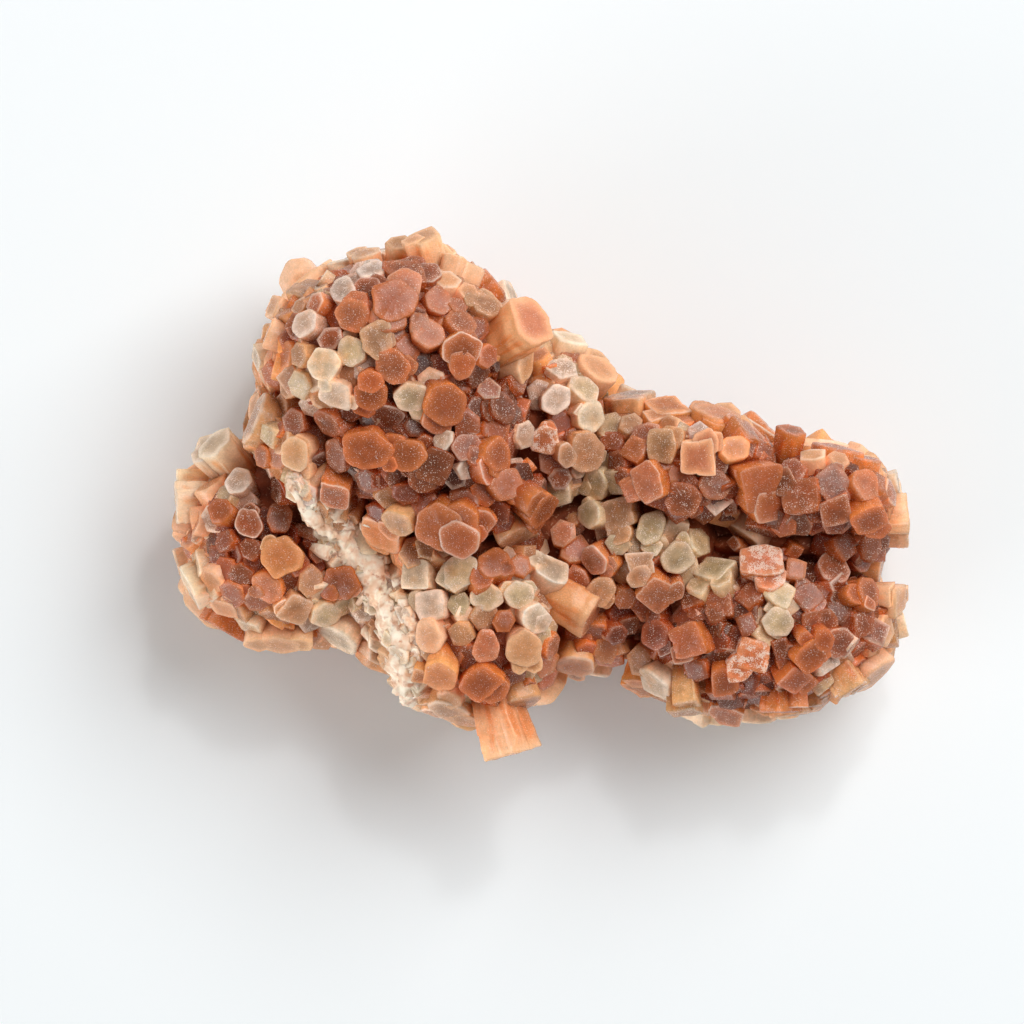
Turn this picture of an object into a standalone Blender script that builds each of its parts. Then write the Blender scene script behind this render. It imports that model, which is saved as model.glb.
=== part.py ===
"""Aragonite star cluster, about 62 mm long, lying on its back.

Blunt arms radiate from one middle. Every arm is a lobe covered with six-sided prisms that end in a
flat cap and point straight out of the lobe. All of them grew together, so the specimen is one solid.
The tables below are in millimetres: X to the right, Y away, Z up, as the specimen lies.
"""

import math

import bmesh
import bpy
import numpy as np
from mathutils import Matrix, Vector

MM = 0.001
NAME = "aragonite_cluster"

# The lobes, measured to the tips of their crystals: centre and half sizes
LOBES = {
    "head": ((-12.0, 11.4, 16.5), (11.4, 9.2, 12.5)),
    "cheek": ((-17.0, 4.5, 14.5), (7.6, 7.6, 10.5)),
    "chest": ((-9.8, 6.0, 15.5), (10.6, 9.6, 12.6)),
    "brow": ((-7.5, 0.6, 16.0), (9.5, 5.6, 10.5)),
    "shoulder": ((0.5, 5.4, 12.0), (6.3, 8.6, 9.5)),
    "left_arm": ((-21.3, -3.8, 10.3), (9.2, 9.0, 9.2)),
    "armpit": ((-18.2, -0.6, 11.0), (7.4, 6.4, 8.8)),
    "vein": ((-13.6, -5.8, 10.5), (5.4, 8.4, 8.5)),
    "lower_arm": ((-5.2, -9.5, 12.0), (8.9, 9.4, 11.0)),
    "middle": ((4.5, -5.8, 11.0), (9.4, 9.2, 9.0)),
    "saddle": ((7.2, 2.4, 12.0), (5.5, 6.2, 8.0)),
    "palm": ((8.8, -3.6, 11.5), (8.4, 7.4, 9.4)),
    "right_arm_root": ((12.5, 1.8, 14.5), (8.5, 5.6, 9.0)),
    "right_arm_tip": ((22.5, -0.3, 13.5), (8.0, 4.7, 9.0)),
    "right_arm_low": ((17.9, -10.6, 10.8), (12.3, 8.0, 10.0)),
    "back_left": ((-9.0, 5.0, 9.5), (13.0, 12.5, 8.5)),
    "back_right": ((14.0, -4.5, 9.0), (14.8, 9.5, 8.0)),
}
FULLNESS = 2.8  # 2 is a plain ellipsoid; more makes a lobe flatter on top and steeper at its sides
CRYSTAL_REACH = 1.8  # how far the caps stand above the lobe they grow from

# Kinds of crystal, and how deep the cap of each sits: Mauve ones in the gaps, Pink, Greenish, White and
# bEige ones a little lower than the Orange, Cream and Yellowish ones, Brown-capped ones above them
SINK = {"M": 0.5, "P": 0.1, "G": 0.2, "W": 0.2, "E": 0.1, "O": 0.0, "C": 0.0, "Y": 0.0, "B": -0.1}
PROUD_FROM_WIDTH = 3.0
PROUD_RISE = 0.5  # the widest stand this much higher

# Crystals on the side that faces up: X, Y of the cap, width across, kind
UPPER_ARM = [
    (-12.1, 15.9, 3.7, "B"), (-11.0, 18.4, 3.3, "M"), (-15.6, 15.0, 2.8, "P"), (-16.4, 17.2, 2.4, "W"),
    (-13.9, 18.9, 2.4, "W"), (-14.4, 17.2, 2.6, "W"), (-17.9, 10.9, 2.7, "W"), (-19.6, 14.4, 2.4, "W"),
    (-15.6, 12.0, 2.4, "G"), (-13.4, 12.9, 3.0, "E"), (-12.2, 10.6, 3.0, "E"), (-17.0, 8.3, 2.6, "Y"),
    (-14.0, 8.3, 2.6, "B"), (-10.6, 8.1, 2.8, "Y"), (-12.6, 6.2, 2.4, "B"), (-14.1, 3.7, 3.8, "B"),
    (-11.0, 3.4, 2.8, "B"), (-17.8, 5.6, 2.7, "M"), (-17.2, 3.2, 2.7, "M"), (-20.4, 3.4, 2.7, "O"),
    (-17.1, 0.1, 3.0, "B"), (-8.6, 2.4, 3.1, "M"), (-7.8, 7.6, 3.6, "B"), (-2.5, 7.4, 2.6, "M"),
    (-6.6, 12.0, 3.1, "P"), (-9.2, 13.4, 2.6, "P"), (-4.4, 15.9, 2.5, "P"), (-8.3, 16.2, 2.4, "P"),
    (-6.4, 14.4, 2.4, "M"), (-5.9, 4.0, 2.4, "P"), (-3.4, 3.4, 2.9, "P"), (-2.7, 0.9, 2.7, "B"),
    (-8.3, -2.4, 4.1, "B"), (-11.9, -2.4, 2.6, "E"), (-5.2, -2.3, 2.7, "B"), (0.0, -1.0, 3.3, "B"),
    (-22.6, 13.6, 2.4, "C"),
]
SHOULDER = [
    (3.9, 9.0, 2.6, "Y"), (4.3, 6.6, 2.6, "G"), (1.4, 8.0, 2.4, "W"), (0.4, 4.6, 2.4, "W"),
    (3.7, 3.6, 3.4, "E"), (4.4, 0.9, 2.6, "G"), (3.9, -1.4, 2.5, "G"), (6.4, -1.5, 2.8, "C"),
]
LOWER_ARM = [
    (1.1, -6.0, 2.9, "C"), (4.4, -5.4, 2.4, "E"), (-3.8, -5.6, 2.8, "P"), (-6.6, -6.3, 3.0, "E"),
    (-10.2, -6.6, 3.0, "Y"), (-9.2, -9.0, 2.8, "Y"), (-4.4, -8.4, 2.4, "W"), (-1.6, -8.3, 2.4, "G"),
    (-0.3, -10.2, 2.4, "Y"), (-9.3, -11.7, 2.8, "C"), (-4.4, -12.5, 2.4, "P"), (-1.4, -12.6, 3.1, "C"),
    (-8.3, -14.8, 3.2, "C"), (-4.9, -15.3, 3.2, "B"), (5.0, -8.0, 2.4, "G"),
]
LEFT_ARM = [
    (-21.6, -1.7, 2.4, "M"), (-21.4, -4.9, 3.5, "O"), (-25.2, 1.4, 2.4, "W"), (-24.3, -2.2, 2.4, "M"),
    (-16.2, -7.2, 3.0, "B"), (-22.7, -7.7, 2.6, "O"), (-20.2, -9.6, 2.7, "E"), (-17.6, -10.1, 2.7, "E"),
]
RIGHT_ARM_UPPER = [
    (10.0, 4.2, 2.8, "E"), (8.9, 1.2, 3.2, "E"), (13.0, 3.1, 3.4, "O"), (16.2, 4.0, 2.4, "O"),
    (14.6, 0.9, 2.5, "M"), (11.8, -0.5, 2.9, "M"), (18.2, 0.8, 4.1, "B"), (17.4, 5.6, 2.8, "M"),
    (21.6, 0.2, 3.4, "B"), (24.3, 1.3, 2.8, "M"), (27.2, 1.0, 2.7, "M"), (24.6, -1.4, 2.7, "B"),
    (27.2, -1.9, 3.0, "B"), (9.2, -2.6, 2.6, "G"),
]
RIGHT_ARM_LOWER = [
    (24.7, -5.6, 2.9, "B"), (27.4, -5.2, 2.5, "M"), (18.4, -5.6, 3.4, "O"), (20.0, -8.0, 2.4, "G"),
    (22.4, -8.2, 2.4, "P"), (19.8, -10.4, 2.5, "G"), (11.5, -5.2, 2.7, "Y"), (14.4, -5.8, 2.9, "G"),
    (8.4, -5.6, 2.5, "E"), (9.8, -8.1, 3.3, "C"), (14.8, -8.9, 2.5, "M"), (9.3, -11.6, 2.5, "B"),
    (12.3, -12.0, 3.1, "B"), (17.7, -13.4, 3.1, "C"), (15.4, -15.4, 2.7, "P"), (21.2, -15.4, 2.5, "O"),
    (22.5, -13.2, 3.0, "B"), (25.1, -12.3, 2.7, "M"), (23.1, -10.8, 2.4, "M"), (27.4, -8.0, 2.5, "C"),
]
FACING_UP = UPPER_ARM + SHOULDER + LOWER_ARM + LEFT_ARM + RIGHT_ARM_UPPER + RIGHT_ARM_LOWER

# Crystals of the outer rim: X, Y of the cap, width, heading in the XY plane and rise, in degrees
FACING_OUT = [
    (-14.6, 20.3, 2.5, 100, 12), (-11.7, 21.1, 2.2, 95, 30), (-9.7, 21.6, 2.6, 85, 25),
    (-8.6, 20.4, 2.5, 85, 40), (-19.4, 17.4, 2.8, 128, 20), (-22.2, 15.8, 2.2, 145, 20),
    (-23.8, 7.4, 2.4, 178, 25), (-23.6, 11.4, 2.2, 175, 15), (2.6, 13.2, 2.8, 68, 15),
    (4.7, 11.6, 3.0, 45, 25), (-2.3, -21.5, 4.2, -78, 8), (4.1, -14.1, 2.9, -40, 20),
    (-6.2, -18.7, 2.3, -95, 25), (-8.6, -18.2, 2.2, -110, 15), (-27.2, 4.4, 3.2, 138, 30),
    (-30.4, -0.6, 3.6, 178, 15), (-28.9, 1.9, 2.4, 150, 35), (-29.4, -7.4, 2.8, 212, 12),
    (-29.2, -4.2, 2.6, 185, 25), (-26.4, -9.4, 2.6, 232, 20), (-24.3, -11.0, 2.3, 250, 15),
    (-22.2, -12.2, 2.8, 262, 15), (-19.2, -12.0, 2.4, 272, 25), (-15.7, -12.9, 3.0, 275, 10),
    (10.6, 7.6, 3.4, 92, 25), (15.3, 7.1, 2.5, 88, 20), (21.0, 5.5, 2.2, 80, 20), (27.6, 2.7, 2.2, 45, 30),
    (30.0, 0.9, 2.6, 15, 15), (30.7, -2.0, 3.6, -2, 12), (30.1, -8.8, 2.8, 2, 20),
    (29.9, -11.4, 2.4, -8, 15), (28.8, -13.9, 2.3, -38, 20), (26.2, -16.2, 2.6, -48, 15),
    (23.6, -17.4, 2.2, -68, 20), (20.1, -18.0, 3.0, -85, 15), (15.6, -18.4, 3.2, -92, 18),
    (12.2, -18.1, 3.0, -98, 12), (8.6, -16.2, 3.2, -122, 20),
]

OUT_HEIGHTS = (-1.5, 5.5)  # how high their caps stand over the middle of their lobe

# Thick prisms that lie across a lobe: X, Y and Z of the cap, width, heading and rise
LYING = [(-0.6, 14.4, 25.6, 4.5, 38, 37), (4.4, -10.0, 19.2, 3.6, -45, 14)]

# The crystals it rests on: X, Y and width, caps level at Z = 0
FEET = [(-21.5, -4.5, 4.2), (-9.5, 9.5, 4.6), (-5.5, -10.0, 4.0), (18.5, -11.0, 4.4), (17.0, -1.5, 4.2)]
FOOT_LENGTH = 8.0
CLEAR_OF_TABLE = 0.5  # every other crystal ends at least this far above the table

# Crystals spread round the sides and the back, the widest first, with the rise that suits each width:
# none faces up, the rim has narrow ones and the back wide ones
SPREAD = [(5.4, -1.0, -0.5), (5.0, -1.0, -0.3), (4.6, -1.0, -0.15), (4.2, -0.5, -0.1), (3.8, -0.4, 0.4),
          (3.4, -0.2, 0.45)]
SPREAD_TRIES = 90  # places tried on each lobe at each width
BURIED = 0.94  # a place deeper than this in another lobe gets no crystal
SPACING = 1.0  # gap between two caps, as a share of their mean width
SEED = 7

PRISM_LENGTH = 5.4  # cap to buried base
OVER_CORNERS = 1.06  # size over the corners, as a share of the mean width
CORNER_SPREAD = 0.07  # how uneven the six corners are
BASE_TAPER = 0.78  # the buried base is narrower than the cap
LEAN_SPREAD = 0.13  # how far an axis strays from straight out, radians
RADIAL_SHARE = 0.3  # axis: this share from the lobe's centre, the rest square to its surface
SPLINTER = 0.015  # corners of the joined solid that are closer than this are made one


def unit(v):
    return v / np.linalg.norm(v)


def lobe_arrays():
    """Centres and half sizes of all lobes as two arrays."""
    pairs = list(LOBES.values())
    return np.array([c for c, _ in pairs]), np.array([r for _, r in pairs])


CENTRES, RADII = lobe_arrays()


def depth_in(points, lobe):
    """1 on the lobe's surface and less inside: (X^2 + Y^2)^(F/2) + |Z|^F, in shares of its half sizes."""
    x, y, z = ((points - CENTRES[lobe]) / RADII[lobe]).T
    return (x * x + y * y) ** (FULLNESS / 2) + np.abs(z) ** FULLNESS


def straight_out(point, lobe):
    """Axis of a crystal that grows at this point: mostly square to the lobe, partly from its centre."""
    offset = point - CENTRES[lobe]
    share = offset / RADII[lobe]
    flat = math.hypot(share[0], share[1]) ** (FULLNESS - 2)
    steep = abs(share[2]) ** (FULLNESS - 2)
    square = share / RADII[lobe] * (flat, flat, steep)
    return unit(unit(square) * (1 - RADIAL_SHARE) + unit(offset) * RADIAL_SHARE)


def top_of_lobes(x, y):
    """The highest lobe over (x, y): its surface point and its number, or the nearest rim outside all."""
    across = np.hypot((x - CENTRES[:, 0]) / RADII[:, 0], (y - CENTRES[:, 1]) / RADII[:, 1])
    up = np.clip(1 - across ** FULLNESS, 0, None) ** (1 / FULLNESS)
    heights = np.where(across < 1, CENTRES[:, 2] + RADII[:, 2] * up, 0)
    lobe = int(heights.argmax()) if heights.max() > 0 else int(across.argmin())
    return np.array([x, y, max(heights[lobe], CENTRES[lobe, 2])]), lobe


def towards(heading, rise):
    """Unit vector with this heading in the XY plane and this rise above it, in degrees."""
    turn, lift = math.radians(heading), math.radians(rise)
    return np.array([math.cos(turn) * math.cos(lift), math.sin(turn) * math.cos(lift), math.sin(lift)])


def crystal(cap, axis, width, rng):
    """One crystal as a plain record. Its lean, spin and corners come from the seeded generator."""
    lean = rng.normal(0, LEAN_SPREAD, 3)
    return {
        "cap": np.array(cap, float),
        "axis": unit(axis + lean),
        "width": width,
        "spin": rng.uniform(0, math.tau / 6),
        "corners": 1 + rng.uniform(-CORNER_SPREAD, CORNER_SPREAD, 6),
        "length": PRISM_LENGTH,
    }


def placed_crystals(rng):
    """The crystals of the tables, each at its depth on the lobe below it."""
    made = []
    for x, y, width, kind in FACING_UP:
        point, lobe = top_of_lobes(x, y)
        axis = straight_out(point, lobe)
        rise = (PROUD_RISE if width >= PROUD_FROM_WIDTH else 0) - SINK[kind]
        made.append(crystal(point + axis * rise, axis, width, rng))
    for x, y, width, heading, rise in FACING_OUT:
        axis = towards(heading, rise)
        lobe = top_of_lobes(x - axis[0] * PRISM_LENGTH, y - axis[1] * PRISM_LENGTH)[1]
        z = CENTRES[lobe, 2] + rng.uniform(*OUT_HEIGHTS)
        made.append(crystal((x, y, z), axis, width, rng))
    for x, y, z, width, heading, rise in LYING:
        made.append(crystal((x, y, z), towards(heading, rise), width, rng))
    return made


def is_free(cap, width, made):
    """True where a cap of this width fits between those already there."""
    return all(np.linalg.norm(cap - c["cap"]) > SPACING * (width + c["width"]) / 2 for c in made)


def spread_crystals(made, rng):
    """Adds crystals at random places on the lobes wherever one fits, the widest first."""
    for width, lowest, highest in SPREAD:
        for lobe in range(len(CENTRES)):
            for _ in range(SPREAD_TRIES):
                direction = unit(rng.normal(size=3))
                onto = depth_in(CENTRES[lobe] + direction * RADII[lobe], lobe) ** (-1 / FULLNESS)
                cap = CENTRES[lobe] + direction * RADII[lobe] * onto
                others = min(depth_in(cap, i) for i in range(len(CENTRES)) if i != lobe)
                axis = straight_out(cap, lobe)
                if others > BURIED and lowest < axis[2] < highest and is_free(cap, width, made):
                    made.append(crystal(cap, axis, width, rng))
    return made


def keep_clear_of_table(c):
    """Draws a low crystal back along its axis until its whole cap is above the table."""
    down = c["axis"][2]
    lowest = c["cap"][2] - c["width"] * OVER_CORNERS / 2 * (1 + CORNER_SPREAD) * math.sqrt(1 - down ** 2)
    if lowest < CLEAR_OF_TABLE and down < 0:
        c["cap"] = c["cap"] + c["axis"] * (CLEAR_OF_TABLE - lowest) / down
    return c


def feet(rng):
    """The crystals it rests on, straight down with their caps on the table."""
    made = []
    for x, y, width in FEET:
        foot = crystal((x, y, 0), (0, 0, -1), width, rng)
        foot["axis"], foot["length"] = np.array([0, 0, -1.0]), FOOT_LENGTH
        made.append(foot)
    return made


def all_crystals():
    rng = np.random.default_rng(SEED)
    standing = feet(rng)
    others = spread_crystals(standing + placed_crystals(rng), rng)[len(standing):]
    return standing + [keep_clear_of_table(c) for c in others]


def collection(name):
    made = bpy.data.collections.new(name)
    bpy.context.scene.collection.children.link(made)
    return made


def add_object(name, bm, home):
    mesh = bpy.data.meshes.new(name)
    bm.to_mesh(mesh)
    bm.free()
    made = bpy.data.objects.new(name, mesh)
    home.objects.link(made)
    return made


def lobe_mesh(centre, half_sizes):
    """A lobe's core: a faceted ball of the lobe's fullness and of its size less the crystals' reach."""
    bm = bmesh.new()
    bmesh.ops.create_icosphere(bm, subdivisions=2, radius=1)
    for v in bm.verts:
        v.co *= (math.hypot(v.co.x, v.co.y) ** FULLNESS + abs(v.co.z) ** FULLNESS) ** (-1 / FULLNESS)
    bmesh.ops.scale(bm, vec=[(r - CRYSTAL_REACH) * MM for r in half_sizes], verts=bm.verts)
    bmesh.ops.translate(bm, vec=Vector(centre) * MM, verts=bm.verts)
    return bm


def prism_mesh(c):
    """A six-sided prism with its flat cap at the crystal's tip and its base inside the lobe."""
    bm = bmesh.new()
    radius = c["width"] * OVER_CORNERS / 2 * MM
    length = c["length"] * MM
    bmesh.ops.create_cone(bm, cap_ends=True, segments=6, radius1=radius * BASE_TAPER, radius2=radius,
                          depth=length)
    for v in bm.verts:
        side = math.floor(math.atan2(v.co.y, v.co.x) / (math.tau / 6)) % 6
        v.co.x *= c["corners"][side]
        v.co.y *= c["corners"][side]
    turn = Vector(c["axis"]).to_track_quat("Z", "Y").to_matrix().to_4x4()
    place = Matrix.Translation(Vector(c["cap"]) * MM) @ turn @ Matrix.Rotation(c["spin"], 4, "Z")
    bmesh.ops.transform(bm, matrix=place @ Matrix.Translation((0, 0, -length / 2)), verts=bm.verts)
    return bm


def biggest_shell(mesh):
    """Keeps the outer skin. Any closed pocket left between crystals is filled by dropping its skin."""
    bm = bmesh.new()
    bm.from_mesh(mesh)
    shells, seen = [], set()
    for start in bm.verts:
        if start in seen:
            continue
        shell, queue = [], [start]
        seen.add(start)
        while queue:
            v = queue.pop()
            shell.append(v)
            for e in v.link_edges:
                other = e.other_vert(v)
                if other not in seen:
                    seen.add(other)
                    queue.append(other)
        shells.append(shell)
    shells.sort(key=len)
    for shell in shells[:-1]:
        bmesh.ops.delete(bm, geom=shell, context="VERTS")
    bmesh.ops.remove_doubles(bm, verts=bm.verts, dist=SPLINTER * MM)
    on_straight_edges = [v for v in bm.verts if len(v.link_edges) == 2]
    bmesh.ops.dissolve_verts(bm, verts=on_straight_edges)
    return bm


def stone_material():
    """Translucent orange-brown aragonite."""
    material = bpy.data.materials.new("aragonite")
    material.use_nodes = True
    shader = material.node_tree.nodes["Principled BSDF"]
    shader.inputs["Base Color"].default_value = (0.52, 0.20, 0.10, 1)
    shader.inputs["Roughness"].default_value = 0.42
    shader.inputs["Subsurface Weight"].default_value = 0.3
    return material


def build():
    for old in list(bpy.data.objects):
        bpy.data.objects.remove(old)
    growth = collection("growth")
    for name, (centre, half_sizes) in LOBES.items():
        add_object("lobe_" + name, lobe_mesh(centre, half_sizes), growth)
    for number, c in enumerate(all_crystals()):
        add_object(f"crystal_{number:03d}", prism_mesh(c), growth)
    for piece in growth.objects:
        piece.hide_render = True
        piece.display_type = "WIRE"

    specimen = collection("aragonite_star_cluster")
    first = growth.objects["lobe_head"]
    growth.objects.unlink(first)
    first.hide_render = False
    specimen.objects.link(first)
    union = first.modifiers.new("grown_together", "BOOLEAN")
    union.operation = "UNION"
    union.operand_type = "COLLECTION"
    union.collection = growth
    union.solver = "EXACT"
    bpy.context.view_layer.update()
    joined = bpy.data.meshes.new_from_object(first.evaluated_get(bpy.context.evaluated_depsgraph_get()))
    bpy.data.objects.remove(first)

    bm = biggest_shell(joined)
    low = [min(v.co[i] for v in bm.verts) for i in range(3)]
    high = [max(v.co[i] for v in bm.verts) for i in range(3)]
    centre = Vector(((low[0] + high[0]) / 2, (low[1] + high[1]) / 2, 0))
    print("table origin in the part, mm:", [round(v / MM, 3) for v in -centre])
    bmesh.ops.translate(bm, vec=-centre, verts=bm.verts)
    cluster = add_object(NAME, bm, specimen)
    cluster.data.materials.clear()
    cluster.data.materials.append(stone_material())
    return cluster


build()
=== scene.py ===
"""Looks of the aragonite star cluster: the mass it grew from, its prisms, the white vein and the sugar."""

import math

import bpy
import numpy as np
from mathutils import Matrix, Vector


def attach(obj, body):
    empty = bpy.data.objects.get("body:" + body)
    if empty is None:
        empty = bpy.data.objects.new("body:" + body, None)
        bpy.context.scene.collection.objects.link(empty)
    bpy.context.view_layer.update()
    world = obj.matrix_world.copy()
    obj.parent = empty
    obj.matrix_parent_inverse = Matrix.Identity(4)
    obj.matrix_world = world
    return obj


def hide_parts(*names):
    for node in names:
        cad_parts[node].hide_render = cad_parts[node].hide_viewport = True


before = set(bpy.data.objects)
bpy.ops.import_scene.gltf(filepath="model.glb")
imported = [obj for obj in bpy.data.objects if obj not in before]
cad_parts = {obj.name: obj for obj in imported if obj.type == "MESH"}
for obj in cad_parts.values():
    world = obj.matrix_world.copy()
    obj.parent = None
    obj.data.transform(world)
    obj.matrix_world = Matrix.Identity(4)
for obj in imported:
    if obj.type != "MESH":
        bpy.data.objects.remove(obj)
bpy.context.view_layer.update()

# Ground mass
# The cluster grew outwards from a solid, iron-stained mass with one blunt lobe for each arm. It is
# aragonite too, deep red-brown, rough and pitted, and it only shows down in the gaps between prisms.

MM = 0.001
CLUSTER = "aragonite_cluster"
ON_TABLE = np.array([-0.019, -0.083, 0.0])  # from the middle of the table to the part's own origin, mm

# Centre and half sizes of each lobe, measured to the tips of its prisms, mm
LOBES = {
    "head": ((-12.0, 11.4, 16.5), (11.4, 9.2, 12.5)),
    "cheek": ((-17.0, 4.5, 14.5), (7.6, 7.6, 10.5)),
    "chest": ((-9.8, 6.0, 15.5), (10.6, 9.6, 12.6)),
    "brow": ((-7.5, 0.6, 16.0), (9.5, 5.6, 10.5)),
    "shoulder": ((0.5, 5.4, 12.0), (6.3, 8.6, 9.5)),
    "left_arm": ((-21.3, -3.8, 10.3), (9.2, 9.0, 9.2)),
    "armpit": ((-18.2, -0.6, 11.0), (7.4, 6.4, 8.8)),
    "vein": ((-13.6, -5.8, 10.5), (5.4, 8.4, 8.5)),
    "lower_arm": ((-5.2, -9.5, 12.0), (8.9, 9.4, 11.0)),
    "middle": ((4.5, -5.8, 11.0), (9.4, 9.2, 9.0)),
    "saddle": ((7.2, 2.4, 12.0), (5.5, 6.2, 8.0)),
    "palm": ((8.8, -3.6, 11.5), (8.4, 7.4, 9.4)),
    "right_arm_root": ((12.5, 1.8, 14.5), (8.5, 5.6, 9.0)),
    "right_arm_tip": ((22.5, -0.3, 13.5), (8.0, 4.7, 9.0)),
    "right_arm_low": ((17.9, -10.6, 10.8), (12.3, 8.0, 10.0)),
    "back_left": ((-9.0, 5.0, 9.5), (13.0, 12.5, 8.5)),
    "back_right": ((14.0, -4.5, 9.0), (14.8, 9.5, 8.0)),
}
FULLNESS = 2.8  # F: 2 is a plain ellipsoid; more makes a lobe flatter on top and steeper at its sides
CENTRES, RADII = np.swapaxes(list(LOBES.values()), 0, 1)

MASS_DEPTH = 2.3  # the mass ends this far below the caps of its prisms
MASS_LUMP, MASS_LUMP_HEIGHT = 1.6, 0.28
MASS_PIT, MASS_PIT_HEIGHT = 0.5, 0.12
MASS_GRID = (40, 64)
MASS_BROWN, MASS_ORANGE, MASS_SPECK = (124, 56, 26), (172, 86, 46), (206, 146, 112)
WAVES = 24
GAMMA = 2.2


def rough(points, size, seed):
    """Smooth unevenness, mostly within -1 and 1: the mean of sines of p.k + a over seeded vectors k and
    phases a, times 3, with about one bump for each size in mm."""
    own = np.random.default_rng(seed)
    k = own.normal(size=(3, WAVES)) * math.tau / (size * math.sqrt(12))
    return np.sin(points @ k + own.uniform(0, math.tau, WAVES)).mean(-1) * 3


def linear(colour):
    """Screen colours of 0 to 255 as the light that they stand for."""
    return (np.asarray(colour, float) / 255) ** GAMMA


def fullness(shares):
    """(X^2 + Y^2)^(F/2) + |Z|^F at places (..., 3) in shares of a lobe's half sizes: 1 on its surface."""
    x, y, z = np.moveaxis(shares, -1, 0)
    return (x * x + y * y) ** (FULLNESS / 2) + np.abs(z) ** FULLNESS


def on_surface(d):
    """Directions d drawn out to a lobe's surface, in shares of its half sizes: d / fullness(d)^(1/F)."""
    return d / fullness(d)[..., None] ** (1 / FULLNESS)


def lobe_rings(centre, half_sizes):
    """A lobe on a grid of latitude u and longitude v: its centre, plus its half sizes times the direction
    d of (u, v) drawn out to the surface, plus the mass's unevenness along d."""
    rows, columns = MASS_GRID
    u = np.linspace(-math.pi / 2, math.pi / 2, rows + 2)[1:-1, None]
    v = np.arange(columns) * math.tau / columns
    d = np.stack(np.broadcast_arrays(np.cos(u) * np.cos(v), np.cos(u) * np.sin(v), np.sin(u)), -1)
    points = np.array(centre) + (np.array(half_sizes) - MASS_DEPTH) * on_surface(d)
    lumps = MASS_LUMP_HEIGHT * rough(points, MASS_LUMP, 1) + MASS_PIT_HEIGHT * rough(points, MASS_PIT, 2)
    return points + d * lumps[..., None] + ON_TABLE


def with_ends(rings):
    """The points of a stack of rings in order, then the middles of its first and of its last ring."""
    return np.vstack((rings.reshape(-1, 3), rings[0].mean(0), rings[-1].mean(0)))


def ring_faces(bodies, rings, around):
    """Quads (q, 4) and triangles (t, 3) of point numbers for many alike bodies, each a stack of rings with a
    fan at both ends. A body's points are its rings in order, then both end points. Also gives the place
    of each corner round its body, from 0 to around."""
    j = np.arange(around)
    after = (j + 1) % around
    ring = np.arange(rings - 1)[:, None] * around
    quads = np.stack((ring + j, ring + after, ring + around + after, ring + around + j), -1).reshape(-1, 4)
    quad_places = np.tile((j, j + 1, j + 1, j), rings - 1).T
    top = (rings - 1) * around
    first_end = 0 * j + rings * around
    triangles = np.hstack(((after, j, first_end), (top + j, top + after, first_end + 1))).T
    triangle_places = np.hstack(((j + 1, j, j + 0.5), (j, j + 1, j + 0.5))).T
    step = np.arange(bodies)[:, None, None] * (rings * around + 2)
    faces = [(face + step).reshape(-1, face.shape[1]) for face in (quads, triangles)]
    return faces, np.concatenate([np.tile(place.ravel(), bodies) for place in (quad_places, triangle_places)])


def add_object(name, data):
    made = bpy.data.objects.new(name, data)
    bpy.context.scene.collection.objects.link(made)
    return made


def add_piece(name, points, faces, material, colours=None, uv=None):
    """A mesh from whole arrays: points (n, 3) in mm, quads (q, 4) and triangles (t, 3) of point numbers, a
    colour and its frost (n, 4) for each point, and a UV place (c, 2) for each corner in order."""
    quads, triangles = faces
    corners = np.concatenate((quads.ravel(), triangles.ravel())).astype(np.int32)
    starts = np.concatenate((np.arange(len(quads)) * 4, quads.size + np.arange(len(triangles)) * 3))
    mesh = bpy.data.meshes.new(name)
    mesh.vertices.add(len(points))
    mesh.vertices.foreach_set("co", (points * MM).astype(np.float32).ravel())
    mesh.loops.add(len(corners))
    mesh.loops.foreach_set("vertex_index", corners)
    mesh.polygons.add(len(starts))
    mesh.polygons.foreach_set("loop_start", starts.astype(np.int32))
    mesh.update(calc_edges=True)
    if colours is not None:
        tones = mesh.color_attributes.new("tone", "FLOAT_COLOR", "POINT")
        tones.data.foreach_set("color", colours.astype(np.float32).ravel())
        mesh.uv_layers.new(name="UVMap").data.foreach_set("uv", uv.astype(np.float32).ravel())
    mesh.materials.append(material)
    piece = add_object(name, mesh)
    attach(piece, "root")
    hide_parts(CLUSTER)


def new_material(name):
    material = bpy.data.materials.new(name)
    material.use_nodes = True
    return material, material.node_tree, material.node_tree.nodes["Principled BSDF"]


def set_inputs(tree, node, **inputs):
    """Gives a node these inputs, each a value or another node's socket; _ in a name is a space."""
    for name, value in inputs.items():
        socket = node.inputs[name.replace("_", " ")]
        if isinstance(value, bpy.types.NodeSocket):
            tree.links.new(value, socket)
        else:
            socket.default_value = value


def add_node(tree, kind, **inputs):
    made = tree.nodes.new("ShaderNode" + kind)
    set_inputs(tree, made, **inputs)
    return made


def mix_colours(tree, factor, first, second, how="MIX"):
    """A socket with the mix of two colours, each a socket or a linear RGB triple."""
    made = tree.nodes.new("ShaderNodeMix")
    made.data_type = "RGBA"
    made.blend_type = how
    for number, value in ((0, factor), (6, first), (7, second)):
        if isinstance(value, bpy.types.NodeSocket):
            tree.links.new(value, made.inputs[number])
        else:
            made.inputs[number].default_value = (*value, 1) if number else value
    return made.outputs[2]


def noise(tree, size, detail=2.0, stretch=None):
    """A noise socket from 0 to 1 with about one blotch for each size in mm, on Object coordinates, or with
    a stretch along one axis on the UV map, which is in mm."""
    place = tree.nodes.new("ShaderNodeTexCoord").outputs["UV" if stretch else "Object"]
    if stretch:
        place = add_node(tree, "Mapping", Vector=place, Scale=stretch).outputs[0]
    scale = 1 / size if stretch else 1 / (size * MM)
    return add_node(tree, "TexNoise", Vector=place, Scale=scale, Detail=detail).outputs[0]


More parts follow.
